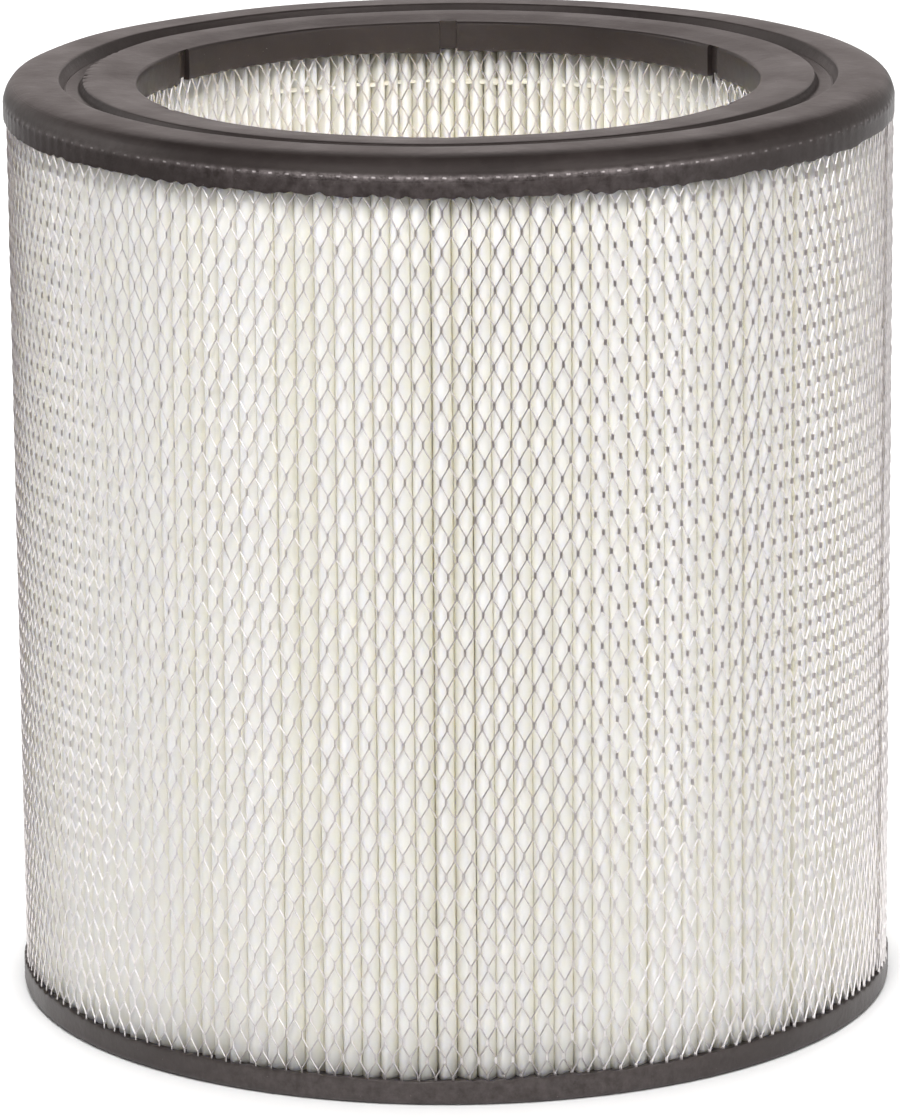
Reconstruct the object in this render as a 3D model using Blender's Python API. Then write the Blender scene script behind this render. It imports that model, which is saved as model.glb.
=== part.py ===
"""Pleated cartridge filter of a dust collector: two moulded end caps that hold a pleated sheet
between an outer and an inner liner. Metres, +Z up, origin at the centre of the bottom face."""

from math import cos, pi, radians, sin

import bmesh
import bpy

MM = 0.001

# Driving dimensions
HEIGHT = 341.1 * MM
CAP_RADIUS = 162.0 * MM
BOTTOM_CAP_RADIUS = 161.9 * MM
TOP_CAP_DEPTH = 14.2 * MM
BOTTOM_CAP_DEPTH = 9.3 * MM
BORE_RADIUS = 113.3 * MM
GAP = 0.3 * MM

# Top cap: outer ring, groove, seal land and bore lip
SHOULDER_RADIUS = 7.5 * MM
GROOVE_OUTER_TOP = 141.4 * MM
GROOVE_OUTER_FLOOR = 139.7 * MM
GROOVE_INNER_FLOOR = 134.4 * MM
GROOVE_DEPTH = 4.6 * MM
LAND_OUTER = 133.1 * MM
LAND_BREAK = 125.0 * MM
LAND_DROP = 1.0 * MM
BORE_EDGE_DROP = 2.1 * MM
LIP_BOTTOM_RISE = 0.6 * MM
NOTCH_COUNT = 6
NOTCH_WIDTH = 6.5 * MM
NOTCH_REACH = 115.1 * MM
SKIRT_INNER = 161.3 * MM
LIP_OUTER = 114.9 * MM
POTTING_TOP = 332.3 * MM
EDGE_BREAK = 0.8 * MM

# Bottom cap and closing disc
POTTING_BOTTOM = 4.0 * MM
BOTTOM_CORNER = 2.2 * MM
DISC_RADIUS = 112.0 * MM
DISC_THICKNESS = 0.8 * MM
DISC_Z = 3.7 * MM
DISC_RIB_RADIUS = 72.0 * MM
DISC_RIB_HEIGHT = 2.0 * MM
DISC_RIB_WIDTH = 9.0 * MM
UNDER_LIP_RADIUS = 105.5 * MM
OVER_LIP_RADIUS = 108.5 * MM

# Liners
LINER_THICKNESS = 1.0 * MM
OUTER_LINER_RADIUS = 161.0 * MM
INNER_LINER_RADIUS = 116.3 * MM
LAP_RISE = 1.0 * MM
LAP_START = radians(-13.0)
LAP_SWEEP = radians(6.0)
LAP_STEPS = 2

# Pleated sheet
PLEATS = 142
SHEET = 0.6 * MM
MEDIA_OUTER = 159.5 * MM
MEDIA_INNER = 118.6 * MM
TIP_HALF_WIDTH = 2.1 * MM
FOLD_HALF_WIDTH = 1.0 * MM
SEAM_ANGLE = radians(-90.75)
SEAM_HALF_THICKNESS = 0.9 * MM
SEAM_INNER = 122.0 * MM
SEAM_OUTER = 155.0 * MM

# Hot-melt beads round the pleats' inner folds
BEAD_INNER = 117.1 * MM
BEAD_OUTER = 118.15 * MM
BEAD_HEIGHT = 3.4 * MM
BEAD_COUNT = 7
BEAD_TOP_Z = 315.0 * MM
BEAD_PITCH = 48.0 * MM

SEGMENTS = 72
BEAD_SEGMENTS = 36
DISC_CENTRE_RADIUS = 4.0 * MM


def clear_scene():
    for item in list(bpy.data.objects):
        bpy.data.objects.remove(item)


def material(name, colour, roughness, metallic=0.0):
    made = bpy.data.materials.new(name)
    made.use_nodes = True
    shader = made.node_tree.nodes["Principled BSDF"]
    shader.inputs["Base Color"].default_value = (*colour, 1.0)
    shader.inputs["Roughness"].default_value = roughness
    shader.inputs["Metallic"].default_value = metallic
    return made


def polar(radius, angle, z):
    return (radius * cos(angle), radius * sin(angle), z)


def finish(name, mesh_builder, look, sharp=radians(35)):
    """Turns a bmesh into a named object with its normals outward and round faces smooth."""
    bmesh.ops.recalc_face_normals(mesh_builder, faces=mesh_builder.faces)
    mesh = bpy.data.meshes.new(name)
    mesh_builder.to_mesh(mesh)
    mesh_builder.free()
    mesh.materials.append(look)
    mesh.shade_smooth()
    mesh.set_sharp_from_angle(angle=sharp)
    made = bpy.data.objects.new(name, mesh)
    bpy.context.scene.collection.objects.link(made)
    return made


def arc(centre_r, centre_z, radius, start, stop, steps):
    """Points of a round corner in the (radius, z) plane; angles in degrees."""
    points = []
    for step in range(steps + 1):
        angle = radians(start + (stop - start) * step / steps)
        points.append((centre_r + radius * cos(angle), centre_z + radius * sin(angle)))
    return points


def turned(name, profile, look, segments=SEGMENTS):
    """Revolves a closed (radius, z) outline about the Z axis."""
    builder = bmesh.new()
    rings = []
    for step in range(segments):
        angle = 2 * pi * step / segments
        rings.append([builder.verts.new(polar(r, angle, z)) for r, z in profile])
    count = len(profile)
    for step in range(segments):
        here = rings[step]
        after = rings[(step + 1) % segments]
        for index in range(count):
            following = (index + 1) % count
            builder.faces.new((here[index], here[following], after[following], after[index]))
    return finish(name, builder, look)


def top_cap_outline():
    skirt_bottom = HEIGHT - TOP_CAP_DEPTH
    land_top = HEIGHT - LAND_DROP
    bore_top = HEIGHT - BORE_EDGE_DROP
    floor = HEIGHT - GROOVE_DEPTH
    outline = [(SKIRT_INNER, skirt_bottom), (CAP_RADIUS, skirt_bottom)]
    outline += arc(CAP_RADIUS - SHOULDER_RADIUS, HEIGHT - SHOULDER_RADIUS, SHOULDER_RADIUS, 0, 90, 5)
    outline += [(GROOVE_OUTER_TOP + EDGE_BREAK, HEIGHT), (GROOVE_OUTER_TOP, HEIGHT - EDGE_BREAK)]
    outline += [(GROOVE_OUTER_FLOOR, floor), (GROOVE_INNER_FLOOR, floor)]
    outline += [(LAND_OUTER, land_top - EDGE_BREAK), (LAND_OUTER - EDGE_BREAK, land_top)]
    outline.append((LAND_BREAK, land_top))
    outline += [(BORE_RADIUS + EDGE_BREAK, bore_top), (BORE_RADIUS, bore_top - EDGE_BREAK)]
    lip_bottom = skirt_bottom + LIP_BOTTOM_RISE
    outline += [(BORE_RADIUS, lip_bottom), (LIP_OUTER, lip_bottom)]
    outline += [(LIP_OUTER, POTTING_TOP), (SKIRT_INNER, POTTING_TOP)]
    return outline


def notch_cutter(look):
    """Six upright blocks, one at the back, that cut the notches through the bore lip."""
    inner = BORE_RADIUS - 4 * MM
    low = HEIGHT - TOP_CAP_DEPTH - MM
    high = HEIGHT + MM
    half = NOTCH_WIDTH / 2
    builder = bmesh.new()
    for number in range(NOTCH_COUNT):
        angle = pi / 2 + 2 * pi * number / NOTCH_COUNT
        corners = []
        for z in (low, high):
            for along, across in ((inner, -half), (NOTCH_REACH, -half), (NOTCH_REACH, half), (inner, half)):
                x = along * cos(angle) - across * sin(angle)
                y = along * sin(angle) + across * cos(angle)
                corners.append(builder.verts.new((x, y, z)))
        builder.faces.new(corners[3::-1])
        builder.faces.new(corners[4:])
        for side in range(4):
            after = (side + 1) % 4
            builder.faces.new((corners[side], corners[after], corners[after + 4], corners[side + 4]))
    cutter = finish("notch_cutter", builder, look)
    cutter.hide_render = True
    cutter.display_type = "WIRE"
    return cutter


def top_end_cap(look):
    cap = turned("top_end_cap", top_cap_outline(), look)
    cut = cap.modifiers.new("notches", "BOOLEAN")
    cut.operation = "DIFFERENCE"
    cut.object = notch_cutter(look)
    return cap


def bottom_end_cap(look):
    top = BOTTOM_CAP_DEPTH
    slot_low = DISC_Z - GAP
    slot_high = DISC_Z + DISC_THICKNESS + GAP
    outline = [(SKIRT_INNER, top), (BOTTOM_CAP_RADIUS, top)]
    outline += arc(BOTTOM_CAP_RADIUS - BOTTOM_CORNER, BOTTOM_CORNER, BOTTOM_CORNER, 0, -90, 3)
    outline += [(UNDER_LIP_RADIUS + MM, 0.0), (UNDER_LIP_RADIUS, MM), (UNDER_LIP_RADIUS, slot_low)]
    outline += [(DISC_RADIUS + GAP, slot_low), (DISC_RADIUS + GAP, slot_high)]
    outline += [(OVER_LIP_RADIUS, slot_high), (OVER_LIP_RADIUS, top - 2 * MM)]
    outline += [(OVER_LIP_RADIUS + 2 * MM, top), (LIP_OUTER, top)]
    outline += [(LIP_OUTER, POTTING_BOTTOM), (SKIRT_INNER, POTTING_BOTTOM)]
    return turned("bottom_end_cap", outline, look)


def bottom_closing_disc(look):
    """Sheet-metal disc with one pressed stiffening ring."""
    foot = DISC_RIB_WIDTH / 2
    crest = DISC_RIB_WIDTH / 6
    under = [(DISC_CENTRE_RADIUS, 0.0)]
    under += [(DISC_RIB_RADIUS - foot, 0.0), (DISC_RIB_RADIUS - crest, DISC_RIB_HEIGHT)]
    under += [(DISC_RIB_RADIUS + crest, DISC_RIB_HEIGHT), (DISC_RIB_RADIUS + foot, 0.0)]
    under.append((DISC_RADIUS, 0.0))
    builder = bmesh.new()
    centres = [builder.verts.new((0, 0, DISC_Z + lift)) for lift in (0.0, DISC_THICKNESS)]
    rings = []
    for step in range(SEGMENTS):
        angle = 2 * pi * step / SEGMENTS
        low = [builder.verts.new(polar(r, angle, DISC_Z + z)) for r, z in under]
        high = [builder.verts.new(polar(r, angle, DISC_Z + z + DISC_THICKNESS)) for r, z in under]
        rings.append((low, high))
    last = len(under) - 1
    for step in range(SEGMENTS):
        low, high = rings[step]
        next_low, next_high = rings[(step + 1) % SEGMENTS]
        builder.faces.new((centres[0], next_low[0], low[0]))
        builder.faces.new((centres[1], high[0], next_high[0]))
        for index in range(last):
            builder.faces.new((low[index], next_low[index], next_low[index + 1], low[index + 1]))
            builder.faces.new((high[index], high[index + 1], next_high[index + 1], next_high[index]))
        builder.faces.new((low[last], next_low[last], next_high[last], high[last]))
    return finish("bottom_closing_disc", builder, look)


def seam_overlap(look):
    """Block in the shape of the outer liner's overlapping strip, to be joined to the rolled sheet."""
    low = BOTTOM_CAP_DEPTH + GAP
    high = HEIGHT - TOP_CAP_DEPTH - GAP
    root = OUTER_LINER_RADIUS - LINER_THICKNESS / 2
    crest = OUTER_LINER_RADIUS + LAP_RISE
    builder = bmesh.new()
    columns = []
    for step in range(LAP_STEPS + 1):
        angle = LAP_START + LAP_SWEEP * step / LAP_STEPS
        section = ((root, low), (crest, low), (crest, high), (root, high))
        columns.append([builder.verts.new(polar(r, angle, z)) for r, z in section])
    builder.faces.new(columns[0])
    builder.faces.new(columns[-1][::-1])
    for here, after in zip(columns, columns[1:]):
        for corner in range(4):
            following = (corner + 1) % 4
            builder.faces.new((here[corner], after[corner], after[following], here[following]))
    overlap = finish("seam_overlap", builder, look)
    overlap.hide_render = True
    overlap.display_type = "WIRE"
    return overlap


def rolled_sheet(name, outer_radius, look):
    """A liner's rolled sheet, reaching into both caps."""
    low = POTTING_BOTTOM + GAP
    high = POTTING_TOP - GAP
    inside = outer_radius - LINER_THICKNESS
    outline = [(inside, low), (outer_radius, low), (outer_radius, high), (inside, high)]
    return turned(name, outline, look)


def outer_liner(look):
    liner = rolled_sheet("outer_liner", OUTER_LINER_RADIUS, look)
    join = liner.modifiers.new("lapped_seam", "BOOLEAN")
    join.operation = "UNION"
    join.object = seam_overlap(look)
    return liner


def inner_liner(look):
    return rolled_sheet("inner_liner", INNER_LINER_RADIUS, look)


def pleated_media(look):
    """One folded sheet: flat-topped folds inside and outside, joined by straight flanks."""
    dirty = []
    clean = []
    half_pitch = pi / PLEATS
    for number in range(PLEATS):
        tip = SEAM_ANGLE + 2 * half_pitch * number
        valley = tip + half_pitch
        for side in (-1, 1):
            dirty.append((MEDIA_OUTER, tip + side * TIP_HALF_WIDTH / MEDIA_OUTER))
            clean.append((MEDIA_OUTER - SHEET, tip + side * (TIP_HALF_WIDTH - SHEET) / MEDIA_OUTER))
        for side in (-1, 1):
            dirty.append((MEDIA_INNER + SHEET, valley + side * (FOLD_HALF_WIDTH - SHEET) / MEDIA_INNER))
            clean.append((MEDIA_INNER, valley + side * FOLD_HALF_WIDTH / MEDIA_INNER))
    builder = bmesh.new()
    rows = []
    for z in (POTTING_BOTTOM + GAP, POTTING_TOP - GAP):
        sides = []
        for side in (dirty, clean):
            sides.append([builder.verts.new(polar(r, angle, z)) for r, angle in side])
        rows.append(sides)
    count = len(dirty)
    for index in range(count):
        after = (index + 1) % count
        (low_out, low_in), (high_out, high_in) = rows
        builder.faces.new((low_out[index], low_out[after], high_out[after], high_out[index]))
        builder.faces.new((low_in[index], high_in[index], high_in[after], low_in[after]))
        builder.faces.new((low_out[index], low_in[index], low_in[after], low_out[after]))
        builder.faces.new((high_out[index], high_out[after], high_in[after], high_in[index]))
    return finish("pleated_media", builder, look)


def media_end_seam(look):
    """Strip of adhesive that joins the sheet's two ends inside one pleat."""
    builder = bmesh.new()
    corners = []
    for z in (POTTING_BOTTOM + GAP, POTTING_TOP - GAP):
        for along, across in ((SEAM_INNER, -1), (SEAM_OUTER, -1), (SEAM_OUTER, 1), (SEAM_INNER, 1)):
            shift = across * SEAM_HALF_THICKNESS
            x = along * cos(SEAM_ANGLE) - shift * sin(SEAM_ANGLE)
            y = along * sin(SEAM_ANGLE) + shift * cos(SEAM_ANGLE)
            corners.append(builder.verts.new((x, y, z)))
    builder.faces.new(corners[3::-1])
    builder.faces.new(corners[4:])
    for side in range(4):
        after = (side + 1) % 4
        builder.faces.new((corners[side], corners[after], corners[after + 4], corners[side + 4]))
    return finish("media_end_seam", builder, look)


def inner_glue_beads(look):
    for number in range(BEAD_COUNT):
        middle = BEAD_TOP_Z - (BEAD_COUNT - 1 - number) * BEAD_PITCH
        low = middle - BEAD_HEIGHT / 2
        high = middle + BEAD_HEIGHT / 2
        outline = [(BEAD_INNER, low), (BEAD_OUTER, low), (BEAD_OUTER, high), (BEAD_INNER, high)]
        turned(f"inner_glue_bead_{number + 1}", outline, look, BEAD_SEGMENTS)


def main():
    clear_scene()
    polyurethane = material("polyurethane", (0.045, 0.038, 0.036), 0.45)
    galvanised = material("galvanised_steel", (0.62, 0.61, 0.59), 0.38, 1.0)
    paper = material("filter_media", (0.83, 0.82, 0.76), 0.9)
    hot_melt = material("hot_melt", (0.80, 0.79, 0.72), 0.35)
    top_end_cap(polyurethane)
    bottom_end_cap(polyurethane)
    bottom_closing_disc(galvanised)
    outer_liner(galvanised)
    inner_liner(galvanised)
    pleated_media(paper)
    media_end_seam(hot_melt)
    inner_glue_beads(hot_melt)


main()
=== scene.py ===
"""Looks of the pleated filter cartridge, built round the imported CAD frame.

The axis is Z, the front faces -Y, and angles run anticlockwise from +X seen from above. Lengths are
written in millimetres and multiplied by MM. Everything rides on the one body, "root"."""

from math import cos, pi, radians, sin, tau

import bpy
import numpy as np
from mathutils import Matrix, Vector


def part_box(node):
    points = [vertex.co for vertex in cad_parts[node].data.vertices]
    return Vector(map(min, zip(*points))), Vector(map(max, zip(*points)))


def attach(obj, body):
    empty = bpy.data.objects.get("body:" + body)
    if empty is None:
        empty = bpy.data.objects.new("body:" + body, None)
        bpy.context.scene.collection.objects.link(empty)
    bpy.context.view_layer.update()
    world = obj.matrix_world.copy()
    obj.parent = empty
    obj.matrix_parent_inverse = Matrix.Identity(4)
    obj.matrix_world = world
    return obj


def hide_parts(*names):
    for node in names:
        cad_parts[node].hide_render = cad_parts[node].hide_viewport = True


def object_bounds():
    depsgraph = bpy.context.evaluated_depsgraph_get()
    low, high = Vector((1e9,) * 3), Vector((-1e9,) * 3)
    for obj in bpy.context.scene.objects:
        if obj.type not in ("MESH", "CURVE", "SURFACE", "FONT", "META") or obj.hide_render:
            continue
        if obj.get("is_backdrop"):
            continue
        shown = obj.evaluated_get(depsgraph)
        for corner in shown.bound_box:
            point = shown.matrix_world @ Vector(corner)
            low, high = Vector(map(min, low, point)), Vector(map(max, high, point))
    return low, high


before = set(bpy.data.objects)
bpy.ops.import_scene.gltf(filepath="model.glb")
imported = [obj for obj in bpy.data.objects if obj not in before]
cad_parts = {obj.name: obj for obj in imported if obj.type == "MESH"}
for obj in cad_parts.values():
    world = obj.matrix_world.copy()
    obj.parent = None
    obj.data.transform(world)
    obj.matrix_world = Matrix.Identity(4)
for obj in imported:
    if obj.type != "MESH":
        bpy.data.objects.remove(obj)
cad_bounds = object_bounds()

MM = 0.001
FRONT = -pi / 2
BACK = pi / 2

# Places read from the frame
TOP_LOW, TOP_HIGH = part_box("top_end_cap")
HEIGHT = TOP_HIGH.z
SKIRT_BOTTOM = TOP_LOW.z
FOOT_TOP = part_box("bottom_end_cap")[1].z
OUTER_MESH_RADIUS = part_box("outer_liner")[1].y
INNER_MESH_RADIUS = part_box("inner_liner")[1].y
MEDIA_LOW, MEDIA_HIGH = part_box("pleated_media")
DISC_LOW, DISC_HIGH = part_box("bottom_closing_disc")
BEAD_COUNT = 7

# Expanded metal: a diamond is 6.1 mm round the liner and 13.55 mm high
DIAMOND_HEIGHT = 13.55 * MM
BOND_HEIGHT = 2.2 * MM
STRAND_WIDTH = 0.52 * MM
STRAND_THICKNESS = 0.44 * MM
STRAND_TILT = radians(40)
BOND_ROW_Z = 321.2 * MM
OUTER_DIAMONDS = 165.88
INNER_DIAMONDS = 119

# Pleats: the first outer fold, beside the front, holds the joint of the sheet's two ends
PLEATS = 142
SHEET = 0.55 * MM
FIRST_TIP = FRONT - radians(1.2)

# The caps follow the liner's columns round their edges, and the bore lip has six notches
LINER_COLUMNS = 166
COLUMN_STEPS = 7
NOTCHES = BACK + np.arange(6) * tau / 6
NOTCH_HALF = radians(1.65)


# ---------------------------------------------------------------- meshes

def make_object(name, points, faces, look, sharp=None):
    """A piece of the object from arrays of points and faces, riding on the root body."""
    mesh = bpy.data.meshes.new(name)
    faces = faces.tolist() if isinstance(faces, np.ndarray) else faces
    mesh.from_pydata(np.asarray(points).tolist(), [], faces)
    mesh.materials.append(look)
    mesh.shade_smooth()
    if sharp is not None:
        mesh.set_sharp_from_angle(angle=sharp)
    piece = bpy.data.objects.new(name, mesh)
    bpy.context.scene.collection.objects.link(piece)
    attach(piece, "root")
    return piece


def polar(radius, angle, z):
    """Cartesian points, with the three arguments broadcast together."""
    radius, angle, z = np.broadcast_arrays(radius, angle, z)
    return np.stack([radius * np.cos(angle), radius * np.sin(angle), z], axis=-1)


def wrapped(angle):
    """The same angle between -180 and 180 degrees."""
    return (angle + pi) % tau - pi


def bump_at(angle, centre, half_width):
    """1 at a centre angle, falling smoothly to 0 at half_width either side."""
    away = np.abs(wrapped(angle - centre)) / half_width
    return np.where(away < 1, 0.5 + 0.5 * np.cos(pi * np.minimum(away, 1)), 0)


def ring_noise(rng, angle, waves, spread):
    """Smooth noise round a ring: a sum of waves whose counts lie near a mean, of about unit size."""
    total = np.zeros_like(angle)
    amount = 12
    for _ in range(amount):
        count = max(1, round(rng.normal(waves, spread)))
        total += np.sin(count * angle + rng.uniform(0, tau))
    return total / np.sqrt(amount / 2)


def arc(centre_r, centre_z, radius, start, stop, steps):
    """Points of a round corner in the (radius, z) plane; angles in degrees, lengths in mm."""
    turn = np.radians(np.linspace(start, stop, steps + 1))
    return list(zip(centre_r + radius * np.cos(turn), centre_z + radius * np.sin(turn)))


def grid_faces(columns, rows):
    """Quads of a grid of points that closes in both directions, row index running fastest."""
    column, row = np.meshgrid(np.arange(columns), np.arange(rows), indexing="ij")
    after = (column + 1) % columns
    above = (row + 1) % rows
    corners = (column * rows + row, after * rows + row, after * rows + above, column * rows + above)
    return np.stack(corners, axis=-1).reshape(-1, 4)


def stacked_rings(around, rings):
    """Faces of a closed form made of rings of points, one above the other, with flat ends."""
    faces = [tuple(range(around))[::-1], tuple(range((rings - 1) * around, rings * around))]
    for ring in range(rings - 1):
        for place in range(around):
            base = ring * around + place
            after = ring * around + (place + 1) % around
            faces.append((base, after, after + around, base + around))
    return faces


# ---------------------------------------------------------------- materials

class Nodes:
    """Short calls for building one procedural material."""

    def __init__(self, name):
        self.material = bpy.data.materials.new(name)
        self.material.use_nodes = True
        self.tree = self.material.node_tree
        self.shader = self.tree.nodes["Principled BSDF"]
        self.place = self.tree.nodes.new("ShaderNodeTexCoord").outputs["Object"]

    def add(self, kind, **settings):
        node = self.tree.nodes.new(kind)
        for key, value in settings.items():
            setattr(node, key, value)
        return node

    def link(self, source, target):
        self.tree.links.new(source, target)

    def noise(self, scale, detail=4.0, roughness=0.6, stretch=(1, 1, 1)):
        """Noise with features of about 1/scale metres, stretched along the axes."""
        mapping = self.add("ShaderNodeMapping")
        mapping.inputs["Scale"].default_value = stretch
        self.link(self.place, mapping.inputs["Vector"])
        node = self.add("ShaderNodeTexNoise")
        node.inputs["Scale"].default_value = scale
        node.inputs["Detail"].default_value = detail
        node.inputs["Roughness"].default_value = roughness
        self.link(mapping.outputs["Vector"], node.inputs["Vector"])
        return node.outputs["Fac"]

    def ramp(self, source, *stops):
        """Maps a value to colours given as (position, grey or colour)."""
        node = self.add("ShaderNodeValToRGB")
        elements = node.color_ramp.elements
        while len(elements) < len(stops):
            elements.new(0.5)
        for element, (position, colour) in zip(elements, stops):
            element.position = position
            if isinstance(colour, (int, float)):
                colour = (colour, colour, colour)
            element.color = (*colour, 1.0)
        self.link(source, node.inputs["Fac"])
        return node.outputs["Color"]

    def mix(self, amount, first, second, blend="MIX"):
        node = self.add("ShaderNodeMix", data_type="RGBA", blend_type=blend)
        for socket, value in ((node.inputs[0], amount), (node.inputs[6], first), (node.inputs[7], second)):
            if isinstance(value, bpy.types.NodeSocket):
                self.link(value, socket)
            elif isinstance(value, (int, float)):
                socket.default_value = value
            else:
                socket.default_value = (*value, 1.0)
        return node.outputs[2]

    def math(self, operation, first, second=0.0, third=0.0):
        node = self.add("ShaderNodeMath", operation=operation)
        for socket, value in zip(node.inputs, (first, second, third)):
            if isinstance(value, bpy.types.NodeSocket):
                self.link(value, socket)
            else:
                socket.default_value = value
        return node.outputs[0]

    def bump(self, height, distance, strength=1.0, under=None):
        node = self.add("ShaderNodeBump")
        node.inputs["Distance"].default_value = distance
        node.inputs["Strength"].default_value = strength
        self.link(height, node.inputs["Height"])
        if under is not None:
            self.link(under, node.inputs["Normal"])
        return node.outputs["Normal"]

    def set(self, **values):
        """Links or sets the shader's inputs; underscores stand for spaces."""
        for key, value in values.items():
            socket = self.shader.inputs[key.replace("_", " ")]
            if isinstance(value, bpy.types.NodeSocket):
                self.link(value, socket)
            elif isinstance(value, (int, float)):
                socket.default_value = value
            else:
                socket.default_value = value if len(value) == len(socket.default_value) else (*value, 1.0)


def polyurethane():
    """Dark brown-black moulded polyurethane: patchy sheen, mould grain, specks and fine scratches. The
    front of the skirt, where it cured against the liner, has a wrinkled shiny skin. On that skin a grey
    band of painted highlight, broken up by noise, and a painted glint over each of the liner's columns are
    put into the colour. The skirt's marks follow the level, its height in centimetres above 330 mm."""
    nodes = Nodes("moulded_polyurethane")
    split = nodes.add("ShaderNodeSeparateXYZ")
    nodes.link(nodes.place, split.inputs[0])
    level = nodes.math("MULTIPLY_ADD", split.outputs["Z"], 100.0, -33.0)
    flat = nodes.add("ShaderNodeVectorMath", operation="MULTIPLY")
    nodes.link(nodes.place, flat.inputs[0])
    flat.inputs[1].default_value = (1, 1, 0)
    out = nodes.add("ShaderNodeVectorMath", operation="LENGTH")
    nodes.link(flat.outputs["Vector"], out.inputs[0])
    outside = nodes.ramp(out.outputs["Value"], (0.158, 0.0), (0.1605, 1.0))
    skin = nodes.ramp(level, (0.10, 0.7), (0.40, 1.0), (0.62, 0.0))
    skin.node.color_ramp.interpolation = "EASE"
    skin = nodes.math("MULTIPLY", skin, outside)
    # The skin, and with it the painted highlights below, is strongest on the side facing the front.
    facing = nodes.ramp(nodes.math("MULTIPLY", split.outputs["Y"], -5.0), (0.60, 0.22), (0.77, 1.0))
    skin = nodes.math("MULTIPLY", skin, facing)
    patches = nodes.noise(38, 5, 0.62)
    grain = nodes.noise(2600, 3, 0.55)
    waves = nodes.noise(240, 4, 0.6, (1, 1, 1.6))
    wrinkles = nodes.noise(300, 3, 0.55, (1, 1, 0.6))
    scratches = nodes.noise(420, 2, 0.5, (1, 0.06, 0.35))
    body = nodes.ramp(patches, (0.30, (0.0105, 0.0078, 0.0072)), (0.72, (0.0200, 0.0152, 0.0142)))
    chalky = nodes.ramp(nodes.noise(160, 6, 0.7), (0.50, 0.0), (0.80, 0.55))
    body = nodes.mix(chalky, body, (0.032, 0.0255, 0.024))
    specks = nodes.ramp(nodes.noise(1300, 1, 0.4), (0.80, 0.0), (0.83, 0.8))
    body = nodes.mix(specks, body, (0.30, 0.27, 0.25))
    # Painted highlight: a lighter grey band put into the skirt's colour between about 330 and 336 mm, where
    # the light catches it, broken up by noise.
    band = nodes.ramp(level, (0.02, 0.38), (0.26, 0.50), (0.40, 1.0), (0.58, 0.0))
    band.node.color_ramp.interpolation = "EASE"
    sheen_breakup = nodes.ramp(nodes.noise(260, 6, 0.72), (0.36, 0.10), (0.62, 1.0))
    painted_sheen_band = nodes.math("MULTIPLY", nodes.math("MULTIPLY", band, skin), sheen_breakup)
    body = nodes.mix(painted_sheen_band, body, (0.185, 0.162, 0.162))
    # Painted highlight: a near-white glint put into the colour over each of the liner's columns, in a row
    # at about 334 mm where the raised prints catch the light.
    turn = nodes.math("ARCTAN2", split.outputs["Y"], split.outputs["X"])
    wave = nodes.math("SINE", nodes.math("MULTIPLY", turn, OUTER_DIAMONDS))
    painted_glints = nodes.math("MULTIPLY", nodes.ramp(wave, (0.62, 0.0), (0.92, 1.0)), sheen_breakup)
    glint_row = nodes.ramp(level, (0.355, 0.0), (0.385, 1.0), (0.41, 1.0), (0.44, 0.0))
    painted_glints = nodes.math("MULTIPLY", nodes.math("MULTIPLY", painted_glints, glint_row), skin)
    body = nodes.mix(painted_glints, body, (0.72, 0.66, 0.66))
    nodes.set(Base_Color=body)
    matt = nodes.ramp(patches, (0.25, 0.36), (0.75, 0.52))
    nodes.set(Roughness=nodes.mix(skin, matt, (0.22, 0.22, 0.22)))
    low = nodes.bump(waves, 0.35 * MM, 0.45)
    marked = nodes.bump(scratches, 0.06 * MM, 0.5, low)
    fine = nodes.bump(grain, 0.05 * MM, 0.6, marked)
    creased = nodes.bump(nodes.math("MULTIPLY", wrinkles, skin), 0.9 * MM, 0.8, fine)
    nodes.set(Normal=creased)
    nodes.set(Specular_IOR_Level=0.62)
    nodes.set(Specular_Tint=(1.0, 0.89, 0.86, 1.0))
    return nodes.material


def galvanised_steel(name, dullness=0.25):
    """Bright zinc coat with soft spangle in its tone and roughness."""
    nodes = Nodes(name)
    spangle = nodes.noise(420, 3, 0.6)
    tone = nodes.ramp(spangle, (0.30, (0.66, 0.625, 0.62)), (0.70, (0.86, 0.83, 0.825)))
    stain = nodes.ramp(nodes.noise(55, 4, 0.6), (0.55, 0.0), (0.85, 0.35))
    nodes.set(Base_Color=nodes.mix(stain, tone, (0.50, 0.47, 0.44)))
    nodes.set(Metallic=1.0)
    nodes.set(Roughness=nodes.ramp(spangle, (0.25, dullness + 0.12), (0.75, dullness)))
    nodes.set(Normal=nodes.bump(nodes.noise(1800, 2, 0.5), 0.03 * MM, 0.5))
    return nodes.material


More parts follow.
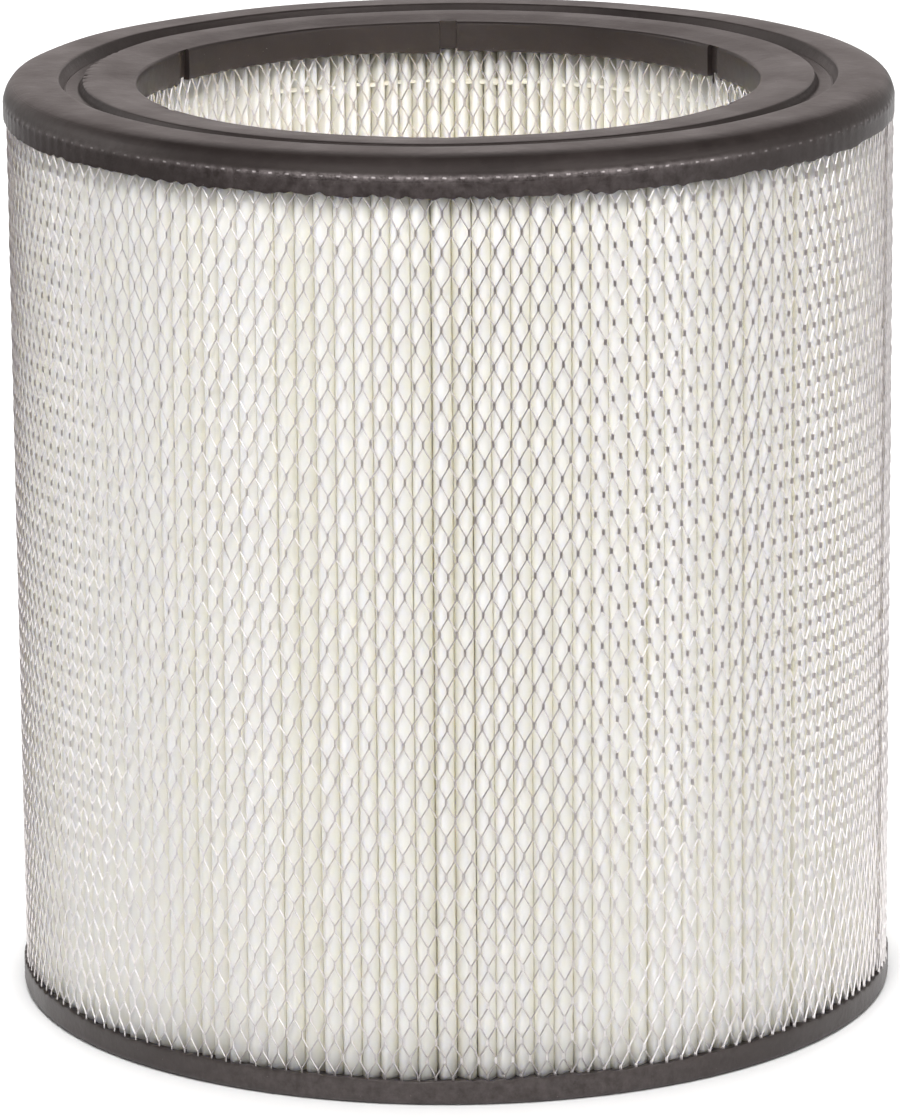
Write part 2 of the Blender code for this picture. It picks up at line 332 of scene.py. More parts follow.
def filter_paper():
    """White needled media with a fine fibrous surface; painted shade makes its colour creamy down the pleat
    flanks and creases, white at the fold tips.
    """
    nodes = Nodes("filter_media")
    cloud = nodes.noise(60, 4, 0.6)
    fibre = nodes.noise(2200, 4, 0.7, (1, 1, 0.35))
    flat = nodes.add("ShaderNodeVectorMath", operation="MULTIPLY")
    nodes.link(nodes.place, flat.inputs[0])
    flat.inputs[1].default_value = (1, 1, 0)
    out = nodes.add("ShaderNodeVectorMath", operation="LENGTH")
    nodes.link(flat.outputs["Vector"], out.inputs[0])
    # Painted shade by distance from the axis: cream down the flanks and creases of the pleats, lighter near
    # the outer edge, white at the outer and inner fold tips.
    across = nodes.math("DIVIDE", nodes.math("SUBTRACT", out.outputs["Value"], 0.116), 0.044)
    shade_cream, white = (0.785, 0.76, 0.65), (0.868, 0.852, 0.822)
    edge = (0.85, 0.83, 0.765)
    depth = nodes.ramp(across, (0.03, white), (0.14, shade_cream), (0.932, shade_cream), (0.966, edge), (0.990, white))
    tone = nodes.mix(nodes.ramp(cloud, (0.30, 0.0), (0.75, 0.35)), depth, (0.865, 0.85, 0.82))
    nodes.set(Base_Color=nodes.mix(nodes.ramp(fibre, (0.35, 0.12), (0.65, 0.0)), tone, (0.77, 0.75, 0.69)))
    nodes.set(Roughness=0.92)
    nodes.set(Specular_IOR_Level=0.05)
    nodes.set(Subsurface_Weight=0.5)
    nodes.set(Subsurface_Radius=(1.0, 0.9, 0.6))
    nodes.set(Subsurface_Scale=1.3 * MM)
    nodes.set(Normal=nodes.bump(fibre, 0.10 * MM, 0.45))
    return nodes.material


def hot_melt():
    """Milky, slightly glossy adhesive."""
    nodes = Nodes("hot_melt")
    cloud = nodes.noise(700, 3, 0.6)
    nodes.set(Base_Color=nodes.ramp(cloud, (0.3, (0.70, 0.67, 0.57)), (0.7, (0.80, 0.78, 0.70))))
    nodes.set(Roughness=nodes.ramp(cloud, (0.3, 0.30), (0.7, 0.45)))
    nodes.set(Subsurface_Weight=0.4)
    nodes.set(Subsurface_Radius=(1.0, 0.85, 0.6))
    nodes.set(Subsurface_Scale=1.2 * MM)
    nodes.set(Normal=nodes.bump(cloud, 0.15 * MM, 0.4))
    return nodes.material


def pale_floor():
    nodes = Nodes("pale_floor")
    nodes.set(Base_Color=nodes.ramp(nodes.noise(3, 3, 0.5), (0.3, 0.90), (0.7, 0.915)))
    nodes.set(Roughness=0.85)
    nodes.set(Specular_IOR_Level=0.2)
    return nodes.material


# ---------------------------------------------------------------- expanded metal

def expanded_metal(name, look, radius, diamonds, row_z, low, high, start, sweep, lean, lap=0.0, seed=1):
    """A rolled sheet of raised expanded metal.

    Each bond is an upright flat bar turned by the tilt about Z. Its right half runs up into the left
    half of the bond up and to the right, and its left half mirrors that, so strands and bonds are one
    closed surface. radius is the sheet's outer face, start and sweep the angles that it covers from
    its outer end, lean how far the columns turn per diamond of height, and lap how far the outer
    end lies over the inner one."""
    rng = np.random.default_rng(seed)
    pitch = tau / diamonds
    half = DIAMOND_HEIGHT / 2
    first_row = int(np.ceil((low - row_z) / half))
    last_row = int(np.floor((high - row_z) / half))
    rows = np.arange(first_row, last_row + 1)
    closed = lap == 0.0
    count = round(diamonds) if closed else int(sweep / pitch)
    reach = STRAND_WIDTH * sin(STRAND_TILT) + STRAND_THICKNESS / 2 * cos(STRAND_TILT)

    row, column = np.meshgrid(rows, np.arange(count), indexing="ij")
    odd = row % 2
    travel = (column + 0.5 * odd) * pitch
    angle = start + travel + lean * row / 2
    z = row_z + row * half
    centre = np.full(angle.shape, radius - reach)
    if not closed:
        centre += lap * np.clip((radians(8.6) - travel) / radians(2.4), 0, 1)
    angle = angle + rng.normal(0, 0.07 * MM, angle.shape) / radius
    z = z + rng.normal(0, 0.09 * MM, z.shape)
    centre = centre + rng.normal(0, 0.04 * MM, centre.shape)

    outward = np.stack([np.cos(angle), np.sin(angle), np.zeros_like(angle)], -1)
    along = np.stack([-np.sin(angle), np.cos(angle), np.zeros_like(angle)], -1)
    wide = cos(STRAND_TILT) * along + sin(STRAND_TILT) * outward
    thick = -sin(STRAND_TILT) * along + cos(STRAND_TILT) * outward
    middle = centre[..., None] * outward + z[..., None] * np.array([0, 0, 1.0])
    section = ((-1, -1), (0, -1), (1, -1), (1, 1), (0, 1), (-1, 1))
    points = []
    for end in (-1, 1):
        for across, through in section:
            shift = across * STRAND_WIDTH * wide + through * STRAND_THICKNESS / 2 * thick
            points.append(middle + shift + np.array([0, 0, end * BOND_HEIGHT / 2]))
    points = np.stack(points, axis=2).reshape(-1, 3)

    index = (np.arange(len(rows))[:, None] * count + np.arange(count)[None, :]) * 12
    faces = []

    def quads(*corners):
        faces.append(np.stack(np.broadcast_arrays(*corners), axis=-1).reshape(-1, 4))

    for here in range(6):
        after = (here + 1) % 6
        quads(index + here, index + after, index + after + 6, index + here + 6)

    up_right = np.full(index.shape, -1)
    up_left = np.full(index.shape, -1)
    for number, one_row in enumerate(rows[:-1]):
        above = index[number + 1]
        if one_row % 2:
            up_left[number] = above
            up_right[number] = np.roll(above, -1)
            if not closed:
                up_right[number, -1] = -1
        else:
            up_right[number] = above
            up_left[number] = np.roll(above, 1)
            if not closed:
                up_left[number, 0] = -1
    right_strands = (up_right, (7, 8, 9, 10), (0, 1, 4, 5))
    left_strands = (up_left, (6, 7, 10, 11), (1, 2, 3, 4))
    for target, leaving, arriving in (right_strands, left_strands):
        joined = target >= 0
        base, head = index[joined], target[joined]
        for here in range(4):
            after = (here + 1) % 4
            start_edge = (base + leaving[here], base + leaving[after])
            quads(*start_edge, head + arriving[after], head + arriving[here])
        open_base = index[~joined]
        quads(*(open_base + corner for corner in leaving))
        received = np.zeros(index.shape, bool)
        received.flat[head // 12] = True
        open_head = index[~received]
        quads(*(open_head + corner for corner in arriving[::-1]))
    faces = np.concatenate(faces)
    return make_object(name, points, faces, look, radians(18))


# ---------------------------------------------------------------- pleated media

def pleat_folds(rng, heights):
    """The uneven folding: angles of the outer folds (tips) and inner folds at each height, and the
    open gap between each tip and the next one, which is closed to a hair nearly everywhere."""
    pitch = tau / PLEATS
    number = np.arange(PLEATS)
    calm = np.where((number <= 2) | (number >= PLEATS - 2), 0.2, 1.0)
    shift = np.clip(rng.normal(0, 0.85, PLEATS), -1.25, 1.25) * calm
    sway = rng.normal(0, 0.22, PLEATS) * calm
    twist = rng.normal(0, 0.16, PLEATS)
    level = heights[:, None] / HEIGHT
    tip_shift = shift + sway * np.cos(pi * level) + twist * np.sin(tau * level)
    tips = FIRST_TIP + pitch * number + tip_shift * MM / MEDIA_HIGH.y
    after = np.concatenate([tips[:, 1:], tips[:, :1] + tau], axis=1)
    inner_folds = (tips + after) / 2 + rng.normal(0, 0.28, PLEATS) * MM / MEDIA_HIGH.y
    gap = (0.05 + np.abs(rng.normal(0, 0.06, PLEATS))) + 0 * level
    gap = gap + np.clip(rng.normal(-0.9, 0.55, PLEATS), 0, 0.8) * (0.5 + 0.5 * np.cos(tau * level + number))
    for crease, width in ((PLEATS - 1, 1.3), (0, 1.5), (1, 0.6)):
        gap[:, crease] = width + 0.15 * np.cos(pi * level[:, 0] * 3 + crease)
    return tips, after, inner_folds, gap * MM


def pleated_sheet(look):
    """The folded sheet as one closed solid. Each outer fold is a rounded ridge, leaning a little, that
    nearly meets its neighbours, so only a narrow crease shows between them."""
    rng = np.random.default_rng(11)
    heights = np.linspace(MEDIA_LOW.z + 1 * MM, MEDIA_HIGH.z - 1 * MM, 14)
    tips, after, inner_folds, gap = pleat_folds(rng, heights)
    middle = (tips + after) / 2
    out = 159.35 * MM - np.abs(rng.normal(0, 0.35, PLEATS)) * MM
    depth = rng.uniform(1.5, 2.6, PLEATS) * MM
    lean = rng.normal(-0.9, 0.55, PLEATS) * MM
    middle_three = [PLEATS - 1, 0, 1]
    depth[middle_three] = np.array([2.6, 2.2, 2.0]) * MM
    lean[middle_three] = np.array([-1.3, -0.6, 0.8]) * MM
    pinch = out - rng.uniform(5.5, 8.0, PLEATS) * MM
    pinch[middle_three] = out[middle_three] - np.array([4.0, 3.8, 3.2]) * MM
    inner = 117.5 * MM + np.abs(rng.normal(0, 0.25, PLEATS)) * MM
    fold_half = 1.05 * MM
    nip = inner + rng.uniform(3.6, 5.2, PLEATS) * MM
    first_turn = tau * (np.arange(PLEATS) == 0)
    last_turn = tau * (np.arange(PLEATS) == PLEATS - 1)
    half_nip = (SHEET + 0.1 * MM) / 2 / nip
    nip_left = (np.roll(inner_folds, 1, axis=1) - first_turn + inner_folds) / 2 + half_nip
    nip_right = (np.roll(inner_folds, -1, axis=1) + last_turn + inner_folds) / 2 - half_nip
    clearance = (SHEET + gap) / 2
    pressed = (SHEET + 0.12 * MM) / 2
    right_edge = middle - clearance / out
    left_edge = np.roll(middle - last_turn, 1, axis=1)
    left_edge = left_edge + np.roll(clearance, 1, axis=1) / out
    centre = tips + lean / out
    radius, angle = [], []

    def add(r, a):
        radius.append(r + 0 * tips)
        angle.append(a + 0 * tips)

    for turn in np.radians((-90, -64, -38, -14, 14, 38, 64, 90)):
        edge = right_edge if turn > 0 else left_edge
        across = abs(sin(turn))
        add(out - depth * across ** (1.3 if turn > 0 else 3.6), centre + (edge - centre) * across)
    add(pinch, middle - pressed / pinch)
    add((pinch + nip) / 2, (middle - pressed / pinch + nip_left) / 2)
    add(nip, nip_left)
    for turn in np.radians((-90, -45, 0, 45, 90)):
        add(inner + fold_half - fold_half * cos(turn), inner_folds + fold_half * sin(turn) / inner)
    add(nip, nip_right)
    add((pinch + nip) / 2, (middle + pressed / pinch + nip_right) / 2)
    add(pinch, middle + pressed / pinch)

    path = polar(np.stack(radius, -1), np.stack(angle, -1), heights[:, None, None])
    path = path.reshape(len(heights), -1, 3)
    tangent = np.roll(path, -1, axis=1) - np.roll(path, 1, axis=1)
    tangent /= np.linalg.norm(tangent, axis=2, keepdims=True)
    normal = np.stack([tangent[..., 1], -tangent[..., 0], np.zeros(tangent.shape[:2])], -1)
    section = np.concatenate([path + normal * SHEET / 2, (path - normal * SHEET / 2)[::-1]], axis=0)
    points = section.transpose(1, 0, 2).reshape(-1, 3)
    faces = grid_faces(path.shape[1], 2 * len(heights))
    sheet = make_object("pleated_media_sheet", points, faces, look)
    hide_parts("pleated_media")
    return inner_folds, inner


def seam_strip(look):
    """The glued joint of the sheet's two ends, a thin uneven strip inside the first pleat."""
    rng = np.random.default_rng(5)
    outward = np.array([cos(FIRST_TIP), sin(FIRST_TIP), 0])
    sideways = np.array([-sin(FIRST_TIP), cos(FIRST_TIP), 0])
    heights = np.linspace(MEDIA_LOW.z + 1 * MM, MEDIA_HIGH.z - 1 * MM, 60)
    outline = ((120.5, -0.5), (124.0, -0.8), (140.0, -0.75), (153.5, -0.6), (154.3, 0.0))
    outline += ((153.5, 0.6), (140.0, 0.75), (124.0, 0.8), (120.5, 0.5), (119.9, 0.0))
    points = []
    for z in heights:
        for out, across in outline:
            out += rng.normal(0, 0.12)
            across += rng.normal(0, 0.05)
            points.append((outward * out + sideways * across) * MM + (0, 0, z))
    faces = stacked_rings(len(outline), len(heights))
    strip = make_object("media_seam_strip", points, faces, look, radians(50))
    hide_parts("media_end_seam")


def glue_bead(number, look, valleys, inner):
    """A hot-melt bead laid round the inner folds: thin over each fold, a fat drop in each pleat."""
    node = f"inner_glue_bead_{number + 1}"
    low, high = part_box(node)
    middle_z = (low.z + high.z) / 2
    rng = np.random.default_rng(40 + number)
    folds = np.sort(np.mod(valleys.mean(axis=0), tau))
    after = np.concatenate([folds[1:], folds[:1] + tau])
    shares = np.linspace(0, 1, 9)[:-1]
    angle = (folds[:, None] + (after - folds)[:, None] * shares).ravel()
    drop = np.tile(np.sin(pi * shares) ** 1.2, PLEATS)
    size = np.repeat(rng.uniform(0.30, 0.95, PLEATS), len(shares))
    radius = 119.9 * MM - drop * 0.25 * MM
    half_height = (0.30 + 1.05 * drop * size) * MM
    half_depth = (0.15 + 0.45 * drop * size) * MM
    sag = np.repeat(rng.normal(0, 0.22, PLEATS), len(shares)) * drop * MM
    turn = np.arange(8) * tau / 8
    ring_r = radius[:, None] + half_depth[:, None] * np.cos(turn)
    ring_z = middle_z + sag[:, None] + half_height[:, None] * np.sin(turn)
    points = polar(ring_r, angle[:, None], ring_z).reshape(-1, 3)
    faces = grid_faces(len(angle), len(turn))
    bead = make_object(f"glue_bead_{number + 1}", points, faces, look)
    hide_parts(node)


# ---------------------------------------------------------------- end caps

def even_columns():
    """Evenly spaced angles round a cap, seven to a column of the liner."""
    return np.arange(LINER_COLUMNS * COLUMN_STEPS) * tau / (LINER_COLUMNS * COLUMN_STEPS)


def cap_columns():
    """The even columns, with two close ones in their place at each side of every notch."""
    even = list(even_columns())
    extra = []
    for notch in NOTCHES:
        for side in (-1, 1):
            edge = (notch + side * NOTCH_HALF) % tau
            extra += [edge - radians(0.04), edge + radians(0.04)]
    even = [a for a in even if min(abs(wrapped(a - e)) for e in extra) > radians(0.12)]
    return np.array(sorted(even + extra))


def in_notch(angle):
    """1 inside a notch of the bore lip and 0 outside it."""
    away = np.min([np.abs(wrapped(angle - notch)) for notch in NOTCHES], axis=0)
    return (away < NOTCH_HALF).astype(float)


def top_cap(look):
    rng = np.random.default_rng(3)
    height, skirt = HEIGHT / MM, SKIRT_BOTTOM / MM
    skirt_rows = [(161.55, skirt), (161.85, skirt + 0.15), (162.0, skirt + 0.6)]
    skirt_rows += [(162.0, z) for z in np.arange(skirt + 1.5, height - 8.8, 0.7)]
    turns = np.radians(np.linspace(0, 57, 13))
    shoulder = list(zip(154.5 + 7.5 * np.cos(turns), height - 8.7 + 8.85 * np.sin(turns)))
    crease = [(158.45, height - 1.30), (158.2, height - 1.10), (157.5, height - 0.80)]
    crease += [(156.0, height - 0.42), (154.0, height - 0.14), (152.5, height - 0.04)]
    ring = [(151.0, height), (147.0, height), (143.4, height)]
    ring += arc(142.3, height - 0.9, 0.9, 90, 175, 4)
    groove = [(140.5, 338.6), (139.9, 337.4), (139.6, 336.95), (139.1, 337.0), (138.7, 336.6)]
    groove += [(137.0, 336.5), (135.2, 336.5), (134.6, 336.75), (134.3, 337.3), (133.6, 338.6)]
    land = arc(132.3, 339.3, 0.85, 5, 90, 4) + [(131.0, 340.2), (128.0, 340.15), (125.4, 340.1)]
    land += [(124.6, 340.05), (121.0, 339.65), (117.5, 339.3)]
    bore = arc(114.5, 337.75, 1.2, 82, 180, 6) + [(113.3, 334.5), (113.3, 331.5), (113.35, 329.0)]
    bore += [(113.4, 328.0), (113.7, 327.6), (114.3, 327.45)]
    under = [(116.0, 327.5), (118.0, 327.6), (128.0, 327.7), (140.0, 327.7), (152.0, 327.7)]
    under += [(158.5, 327.6), (160.6, 327.2)]
    outline = np.array(skirt_rows + shoulder + crease + ring + groove + land + bore + under)
    angle = cap_columns()
    radius = np.tile(outline[:, 0], (len(angle), 1))
    z = np.tile(outline[:, 1], (len(angle), 1))

    # The skirt's lower edge is ragged where the resin crept round the liner's strands.
    ragged = 0.13 * np.cos(LINER_COLUMNS * angle + 0.6) + 0.30 * ring_noise(rng, angle, 150, 60)
    ragged += 0.30 * ring_noise(rng, angle, 42, 18) + 0.22 * ring_noise(rng, angle, 10, 5)
    ragged *= 0.55 + 0.45 * bump_at(angle, FRONT, radians(70))
    weight = np.clip(1 - (z - skirt) / 4.0, 0, 1) * (radius > 159)
    z += weight * np.clip(ragged, -1.2, 1.3)[:, None]

    # Ribs and a row of small raised prints where the liner's cut ends press on the skirt.
    pressed = np.cos(LINER_COLUMNS * angle + 2.2)
    prints = np.clip(pressed, 0, 1) ** 3
    strength = 0.35 + 0.65 * np.clip(ring_noise(rng, angle, 9, 5), 0, 1)
    strength += 0.5 * bump_at(angle, FRONT, radians(16))
    at_print = np.exp(-(((z - (height - 7.6)) / 0.6) ** 2)) * (radius > 160)
    radius += at_print * (0.05 + prints * strength)[:, None] * 0.42
    ribs = pressed * (0.035 + 0.03 * ring_noise(rng, angle, 11, 5))
    radius += ribs[:, None] * ((radius > 160.5) & (z < height - 6.5))

    # Slow waves of the mould in the ring and land, and an edge torn here and there on the left.
    z += (z > height - 3) * 0.07 * ring_noise(rng, angle, 7, 4)[:, None]
    torn = bump_at(angle, radians(172), radians(24)) * np.clip(ring_noise(rng, angle, 150, 60), 0, 2.2)
    on_edge = (radius > 131.2) & (radius < 133.4) & (z > 338.9)
    radius -= on_edge * 0.42 * torn[:, None]
    z -= on_edge * 0.28 * torn[:, None]

    # Six notches in the bore lip, and a lip that hangs lower on each one's left.
    notch = in_notch(angle)[:, None]
    on_lip = (radius < 116.5) & (z < 339.0) & (z > 327.0)
    radius += notch * on_lip * np.clip(115.25 - radius, 0, None)
    z += notch * ((radius < 116.5) & (z < 328.5)) * 1.1
    lip = ((radius < 118) & (z < 328.6)) * (1 - notch)
    for beside in NOTCHES + radians(5.2):
        z -= lip * (0.75 * bump_at(angle, beside, radians(7)))[:, None]
    z += lip * 0.14 * ring_noise(rng, angle, 118, 20)[:, None]

    points = polar(radius * MM, angle[:, None], z * MM).reshape(-1, 3)
    faces = grid_faces(len(angle), len(outline))
    cap = make_object("top_cap_moulding", points, faces, look, radians(42))
    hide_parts("top_end_cap")


def blob(name, centre, size, look, node, seed):
    """A small uneven lump: rings of points about a centre, pulled in and out by noise. The size is
    given along the outward, sideways and upward directions."""
    rng = np.random.default_rng(seed)
    angle, radius, z = centre
    outward = np.array([cos(angle), sin(angle), 0])
    sideways = np.array([-sin(angle), cos(angle), 0])
    rings, around = 10, 14
    turn = np.arange(around) * tau / around
    points = []
    for ring in range(rings):
        tilt = pi * (0.04 + 0.92 * ring / (rings - 1)) - pi / 2
        reach = cos(tilt) * (1 + rng.normal(0, 0.10, around))
        for place in range(around):
            local = np.array([cos(turn[place]), sin(turn[place])]) * reach[place]
            point = outward * (radius + size[0] * local[0]) + sideways * size[1] * local[1]
            point[2] = z + size[2] * sin(tilt) * (1 + rng.normal(0, 0.05))
            points.append(point)
    piece = make_object(name, points, stacked_rings(around, rings), look)
    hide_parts(node)


def lip_flash(look):
    """Tongues of resin flash that hang from the bore lip beside the three back notches."""
    right, centre, left = BACK - tau / 6, BACK, BACK + tau / 6
    tongues = (
        (right + radians(0.2), 114.0, 326.6, 0.45, 1.9),
        (centre + radians(2.0), 114.1, 327.2, 0.7, 0.9),
        (left + radians(2.4), 114.2, 326.9, 1.2, 0.8),
        (right - radians(2.3), 114.2, 327.3, 0.8, 0.6),
    )
    for number, (angle, radius, z, half_width, half_height) in enumerate(tongues):
        name = f"lip_flash_{number + 1}"
        place = (angle, radius * MM, z * MM)
        size = (0.35 * MM, half_width * MM, half_height * MM)
        blob(name, place, size, look, "top_end_cap", number)


def seam_weld(look):
    """The one visible weld lump on the outer sheet's lapped edge."""
    centre = (radians(-12.4), OUTER_MESH_RADIUS + 0.9 * MM, 97 * MM)
    size = (0.55 * MM, 1.5 * MM, 2.4 * MM)
    blob("seam_weld_spot", centre, size, look, "outer_liner", 9)


def bottom_cap(look):
    rng = np.random.default_rng(8)
    top = FOOT_TOP / MM
    side = arc(159.9, 2.0, 2.0, -90, 0, 5) + [(161.9, z) for z in (2.5, 3.1, 4.2, 5.4, 6.6, 7.8)]
    rim = [(161.88, top - 0.6), (161.7, top - 0.15), (161.35, top)]
    level = [(160.4, top - 0.1), (158.0, top - 0.3), (150.0, top - 0.5), (138.0, top - 0.6)]
    level += [(126.0, top - 0.5), (118.5, top - 0.3), (115.6, top - 0.1)]
    lip = [(114.2, top), (112.2, top - 0.2), (110.6, top - 1.2), (109.4, 6.8), (108.4, 5.3)]
    lip += [(108.3, 4.9), (109.5, 4.75)]
    under = [(112.3, 4.7), (112.3, 3.5), (106.2, 3.45), (105.6, 3.1), (105.5, 1.4), (105.7, 0.6)]
    under += [(106.3, 0.1), (107.2, 0.0), (120.0, 0.0), (134.0, 0.0), (148.0, 0.0)]
    outline = np.array(side + rim + level + lip + under)
    angle = even_columns()
    radius = np.tile(outline[:, 0], (len(angle), 1))
    z = np.tile(outline[:, 1], (len(angle), 1))
    ragged = 0.16 * np.cos(LINER_COLUMNS * angle) + 0.20 * ring_noise(rng, angle, 110, 50)
    ragged += 0.15 * ring_noise(rng, angle, 10, 5)
    z += np.clip((z - 4.0) / 4.0, 0, 1) * (radius > 113) * np.clip(ragged, -0.6, 0.6)[:, None]
    dots = np.clip(np.cos(LINER_COLUMNS * angle + 1.0), 0, 1) ** 6
    strength = np.clip(0.5 + 0.5 * ring_noise(rng, angle, 60, 30), 0, 1)
    at_dots = np.exp(-(((z - 2.6) / 0.45) ** 2)) * (radius > 160)
    radius += at_dots * (dots * strength)[:, None] * 0.18
    radius += ((radius > 161) & (z > 2)) * 0.035 * ring_noise(rng, angle, 30, 14)[:, None]
    points = polar(radius * MM, angle[:, None], z * MM).reshape(-1, 3)
    faces = grid_faces(len(angle), len(outline))
    cap = make_object("bottom_cap_moulding", points, faces[:, ::-1], look, radians(42))
    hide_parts("bottom_end_cap")


def closing_disc(look):
    """The pressed steel disc with its stiffening ring, finer than the CAD one."""
    thick = 0.8
    base = DISC_LOW.z / MM
    rise = DISC_HIGH.z / MM - base - thick
    radii = [0.4, 8, 20, 35, 50, 60, 66] + list(np.linspace(67, 77, 11))
    radii += [78, 84, 94, 104, 108, 111.6, 112]
    lift = [rise * 0.5 * (1 + cos(pi * min(1, abs(r - 72) / 4.8))) for r in radii]
    outline = [(r, base + up) for r, up in zip(radii, lift)]
    outline += [(r, base + up + thick) for r, up in zip(radii[::-1], lift[::-1])]
    outline = np.array(outline)
    columns = 240
    angle = np.arange(columns) * tau / columns
    points = polar(outline[:, 0] * MM, angle[:, None], outline[:, 1] * MM).reshape(-1, 3)
    faces = grid_faces(columns, len(outline))
    disc = make_object("closing_disc_pressing", points, faces, look, radians(50))
    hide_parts("bottom_closing_disc")


# ---------------------------------------------------------------- studio

def softbox(name, place, target, energy, size, seen=True, height=None, sheen_only=False,
            colour=(1.0, 1.0, 1.0)):
    """A soft light at a place, facing a target, square unless it has a height of its own. An unseen
    one makes no highlight, and a sheen_only one makes nothing else."""
    data = bpy.data.lights.new(name, "AREA")
    data.energy = energy
    data.size = size
    data.color = colour
    if height is not None:
        data.shape = "RECTANGLE"
        data.size_y = height
    lamp = bpy.data.objects.new(name, data)
    lamp.location = place
    aim = Vector(target) - Vector(place)
    lamp.rotation_euler = aim.to_track_quat("-Z", "Y").to_euler()
    lamp.visible_camera = False
    lamp.visible_glossy = seen
    lamp.visible_diffuse = not sheen_only
    bpy.context.scene.collection.objects.link(lamp)


def dark_surround():
    """A grey cloth round the object, darkest in front on the left and lighter to the right and the back,
    with a low wall in front. Only reflections see it: it gives the steel and the resin their dark tones."""
    turns = np.radians(np.linspace(-235, 55, 59))
    points, faces = [], []
    for turn in turns:
        facing = bump_at(turn, FRONT, radians(80))
        for reach, height in ((0.36, 0.002), (1.9, 0.003), (1.9, 0.02 + 0.45 * facing)):
            points.append((reach * cos(turn), reach * sin(turn), height))
    for step in range(len(turns) - 1):
        base = step * 3
        faces += [(base, base + 1, base + 4, base + 3), (base + 1, base + 2, base + 5, base + 4)]
    mesh = bpy.data.meshes.new("dark_surround")
    mesh.from_pydata(points, [], faces)
    nodes = Nodes("grey_cloth")
    split = nodes.add("ShaderNodeSeparateXYZ")
    nodes.link(nodes.place, split.inputs[0])
    right = nodes.math("MULTIPLY", split.outputs["X"], 0.34)
    back = nodes.math("MULTIPLY_ADD", split.outputs["Y"], 0.26, 0.5)
    back = nodes.math("ADD", back, right)
    tone = nodes.ramp(back, (0.20, (0.14, 0.12, 0.12)), (0.50, (0.28, 0.255, 0.255)), (0.70, 0.62))
    nodes.set(Base_Color=nodes.mix(nodes.noise(6), tone, (0.20, 0.18, 0.18), "SOFT_LIGHT"))
    nodes.set(Roughness=0.9)
    mesh.materials.append(nodes.material)
    cloth = bpy.data.objects.new("dark_surround", mesh)
    for ray in ("camera", "diffuse", "transmission", "volume_scatter", "shadow"):
        setattr(cloth, "visible_" + ray, False)
    bpy.context.scene.collection.objects.link(cloth)
    cloth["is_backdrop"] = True


def studio():
    floor_mesh = bpy.data.meshes.new("floor")
    size = 9.0
    corners = [(-size, -size, 0), (size, -size, 0), (size, size, 0), (-size, size, 0)]
    floor_mesh.from_pydata(corners, [], [(0, 1, 2, 3)])
    floor_mesh.materials.append(pale_floor())
    floor = bpy.data.objects.new("floor", floor_mesh)
    bpy.context.scene.collection.objects.link(floor)
    floor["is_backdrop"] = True

    middle = (0, 0, 0.18)
    softbox("key_softbox", (-1.05, -2.0, 1.85), middle, 11.5, 1.3)
    softbox("fill_softbox", (1.45, -1.9, 1.6), middle, 13, 1.3)
    softbox("backdrop_softbox", (0, 3.0, 2.6), (0, 3.0, 0), 150, 3.4, seen=False)
    softbox("top_softbox", (0, 0.2, 2.6), middle, 36, 2.2, seen=False)
    softbox("bore_softbox", (0, -1.0, 1.7), middle, 21, 0.8, seen=False)
    softbox("front_strip", (-0.25, -2.65, 0.85), middle, 6, 1.5, height=0.4)
    softbox("back_softbox", (0, 3.5, 1.25), middle, 15, 4.0, height=1.6, sheen_only=True,
            colour=(1.0, 0.87, 0.85))
    softbox("sheen_strip", (-0.15, -2.70, 0.92), middle, 6, 2.6, height=0.34, sheen_only=True)
    softbox("left_sheen", (-2.4, 0.5, 1.35), middle, 9, 1.6, height=1.2, sheen_only=True)
    softbox("right_sheen", (2.3, -1.1, 1.0), middle, 8, 1.5, height=1.1, sheen_only=True)
    softbox("bore_glow", (0, 0, 0.06), (0, 0, 1), 1.0, 0.17, seen=False)
    dark_surround()
    room()

    bpy.context.scene.cycles.diffuse_bounces = 7
    view = bpy.context.scene.view_settings
    view.view_transform = "Standard"
    view.look = "None"


def room():
    """The world's light: dark in front, pale elsewhere, with a dark ceiling."""
    world = bpy.data.worlds.new("studio")
    world.use_nodes = True
    tree = world.node_tree
    place = tree.nodes.new("ShaderNodeTexCoord").outputs["Generated"]
    split = tree.nodes.new("ShaderNodeSeparateXYZ")
    tree.links.new(place, split.inputs[0])
    round_room = tree.nodes.new("ShaderNodeValToRGB")
    round_room.color_ramp.interpolation = "EASE"
    dark, pale = round_room.color_ramp.elements
    dark.position, dark.color = 0.04, (0.28, 0.255, 0.26, 1)
    pale.position, pale.color = 0.40, (1.0, 0.965, 0.945, 1)
    shifted = tree.nodes.new("ShaderNodeMath")
    shifted.operation = "MULTIPLY_ADD"
    tree.links.new(split.outputs["Y"], shifted.inputs[0])
    shifted.inputs[1].default_value = 0.5
    shifted.inputs[2].default_value = 0.5
    tree.links.new(shifted.outputs[0], round_room.inputs["Fac"])
    ceiling = tree.nodes.new("ShaderNodeValToRGB")
    tree.links.new(split.outputs["Z"], ceiling.inputs["Fac"])
    wall, roof = ceiling.color_ramp.elements
    wall.position, wall.color = 0.32, (1, 1, 1, 1)
    roof.position, roof.color = 0.66, (0.10, 0.095, 0.10, 1)
    both = tree.nodes.new("ShaderNodeMix")
    both.data_type = "RGBA"
    both.blend_type = "MULTIPLY"
    both.inputs[0].default_value = 1.0
    tree.links.new(round_room.outputs["Color"], both.inputs[6])
    tree.links.new(ceiling.outputs["Color"], both.inputs[7])
    tree.links.new(both.outputs[2], tree.nodes["Background"].inputs["Color"])
    tree.nodes["Background"].inputs["Strength"].default_value = 0.50
    bpy.context.scene.world = world


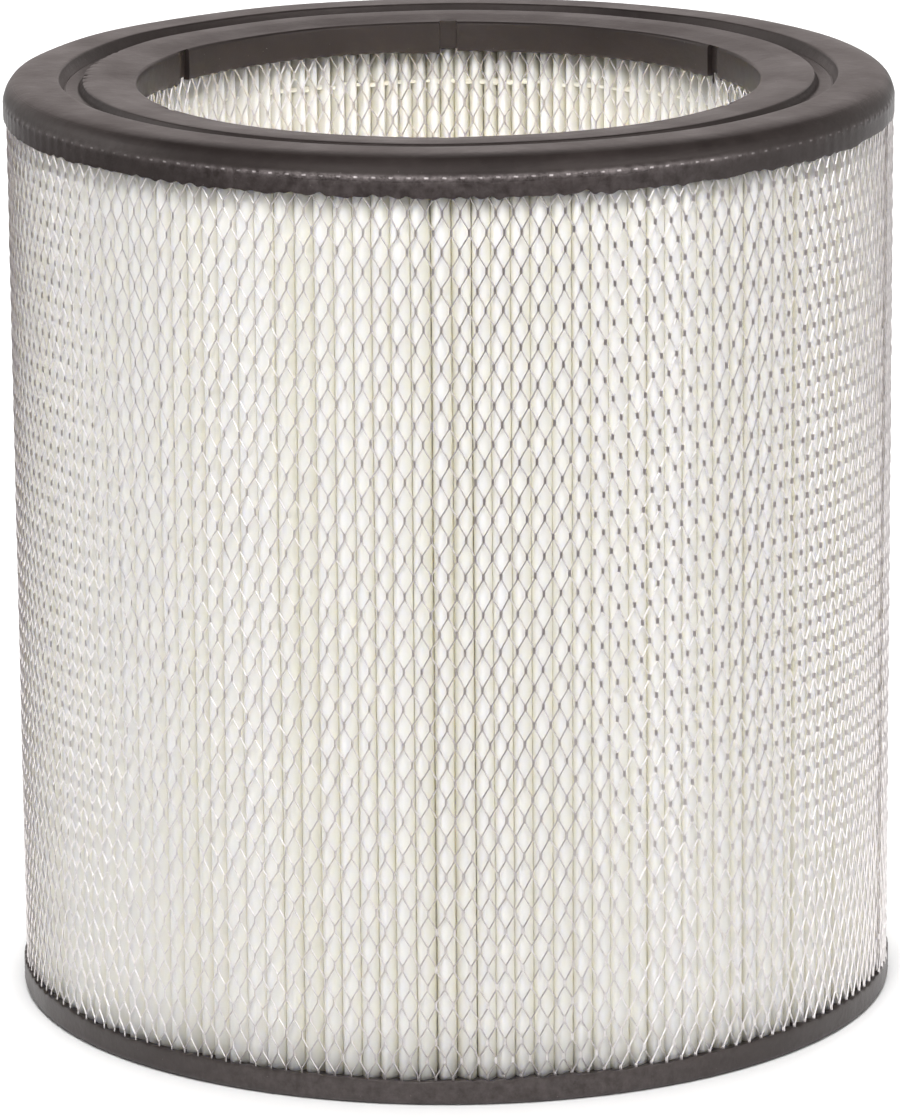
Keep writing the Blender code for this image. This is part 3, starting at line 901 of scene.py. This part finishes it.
def camera():
    """The main view: from the front, 14.5 degrees down, through a long lens."""
    pitch, yaw, roll = 0.2539, -0.0004, -0.0088
    ahead = Vector((0, cos(pitch), -sin(pitch)))
    side = Vector((1, 0, 0))
    up = Vector((0, sin(pitch), cos(pitch)))
    ahead, side = cos(yaw) * ahead + sin(yaw) * side, cos(yaw) * side - sin(yaw) * ahead
    side, up = cos(roll) * side + sin(roll) * up, cos(roll) * up - sin(roll) * side
    data = bpy.data.cameras.new("camera")
    data.sensor_width = 36
    data.lens = 222.9
    made = bpy.data.objects.new("camera", data)
    matrix = Matrix((side, up, -ahead)).transposed().to_4x4()
    matrix.translation = Vector((0, -2.48536, 0.80231))
    made.matrix_world = matrix
    bpy.context.scene.collection.objects.link(made)
    bpy.context.scene.camera = made


# ---------------------------------------------------------------- assembly

camera()
studio()

pu = polyurethane()
zinc = galvanised_steel("galvanised_mesh", 0.30)
sheet_zinc = galvanised_steel("galvanised_disc", 0.34)
paper = filter_paper()
glue = hot_melt()

top_cap(pu)
lip_flash(pu)
bottom_cap(pu)
seam_weld(sheet_zinc)
closing_disc(sheet_zinc)

mesh_low, mesh_high = FOOT_TOP - 4 * MM, SKIRT_BOTTOM + 4 * MM
outer_mesh = expanded_metal(
    "outer_expanded_metal", zinc, OUTER_MESH_RADIUS, OUTER_DIAMONDS, BOND_ROW_Z, mesh_low, mesh_high,
    radians(-13), tau + radians(6), radians(0.08), lap=1.05 * MM, seed=1)
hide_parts("outer_liner")
inner_mesh = expanded_metal(
    "inner_expanded_metal", zinc, INNER_MESH_RADIUS, INNER_DIAMONDS, BOND_ROW_Z, mesh_low, mesh_high,
    BACK, tau, radians(0.02), seed=2)
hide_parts("inner_liner")

fold_angles, fold_radius = pleated_sheet(paper)
seam_strip(glue)
for bead_number in range(BEAD_COUNT):
    glue_bead(bead_number, glue, fold_angles, fold_radius)

boxes = {"cad": cad_bounds, "visual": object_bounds()}
boxes = {name: [[float(value) for value in corner] for corner in box] for name, box in boxes.items()}
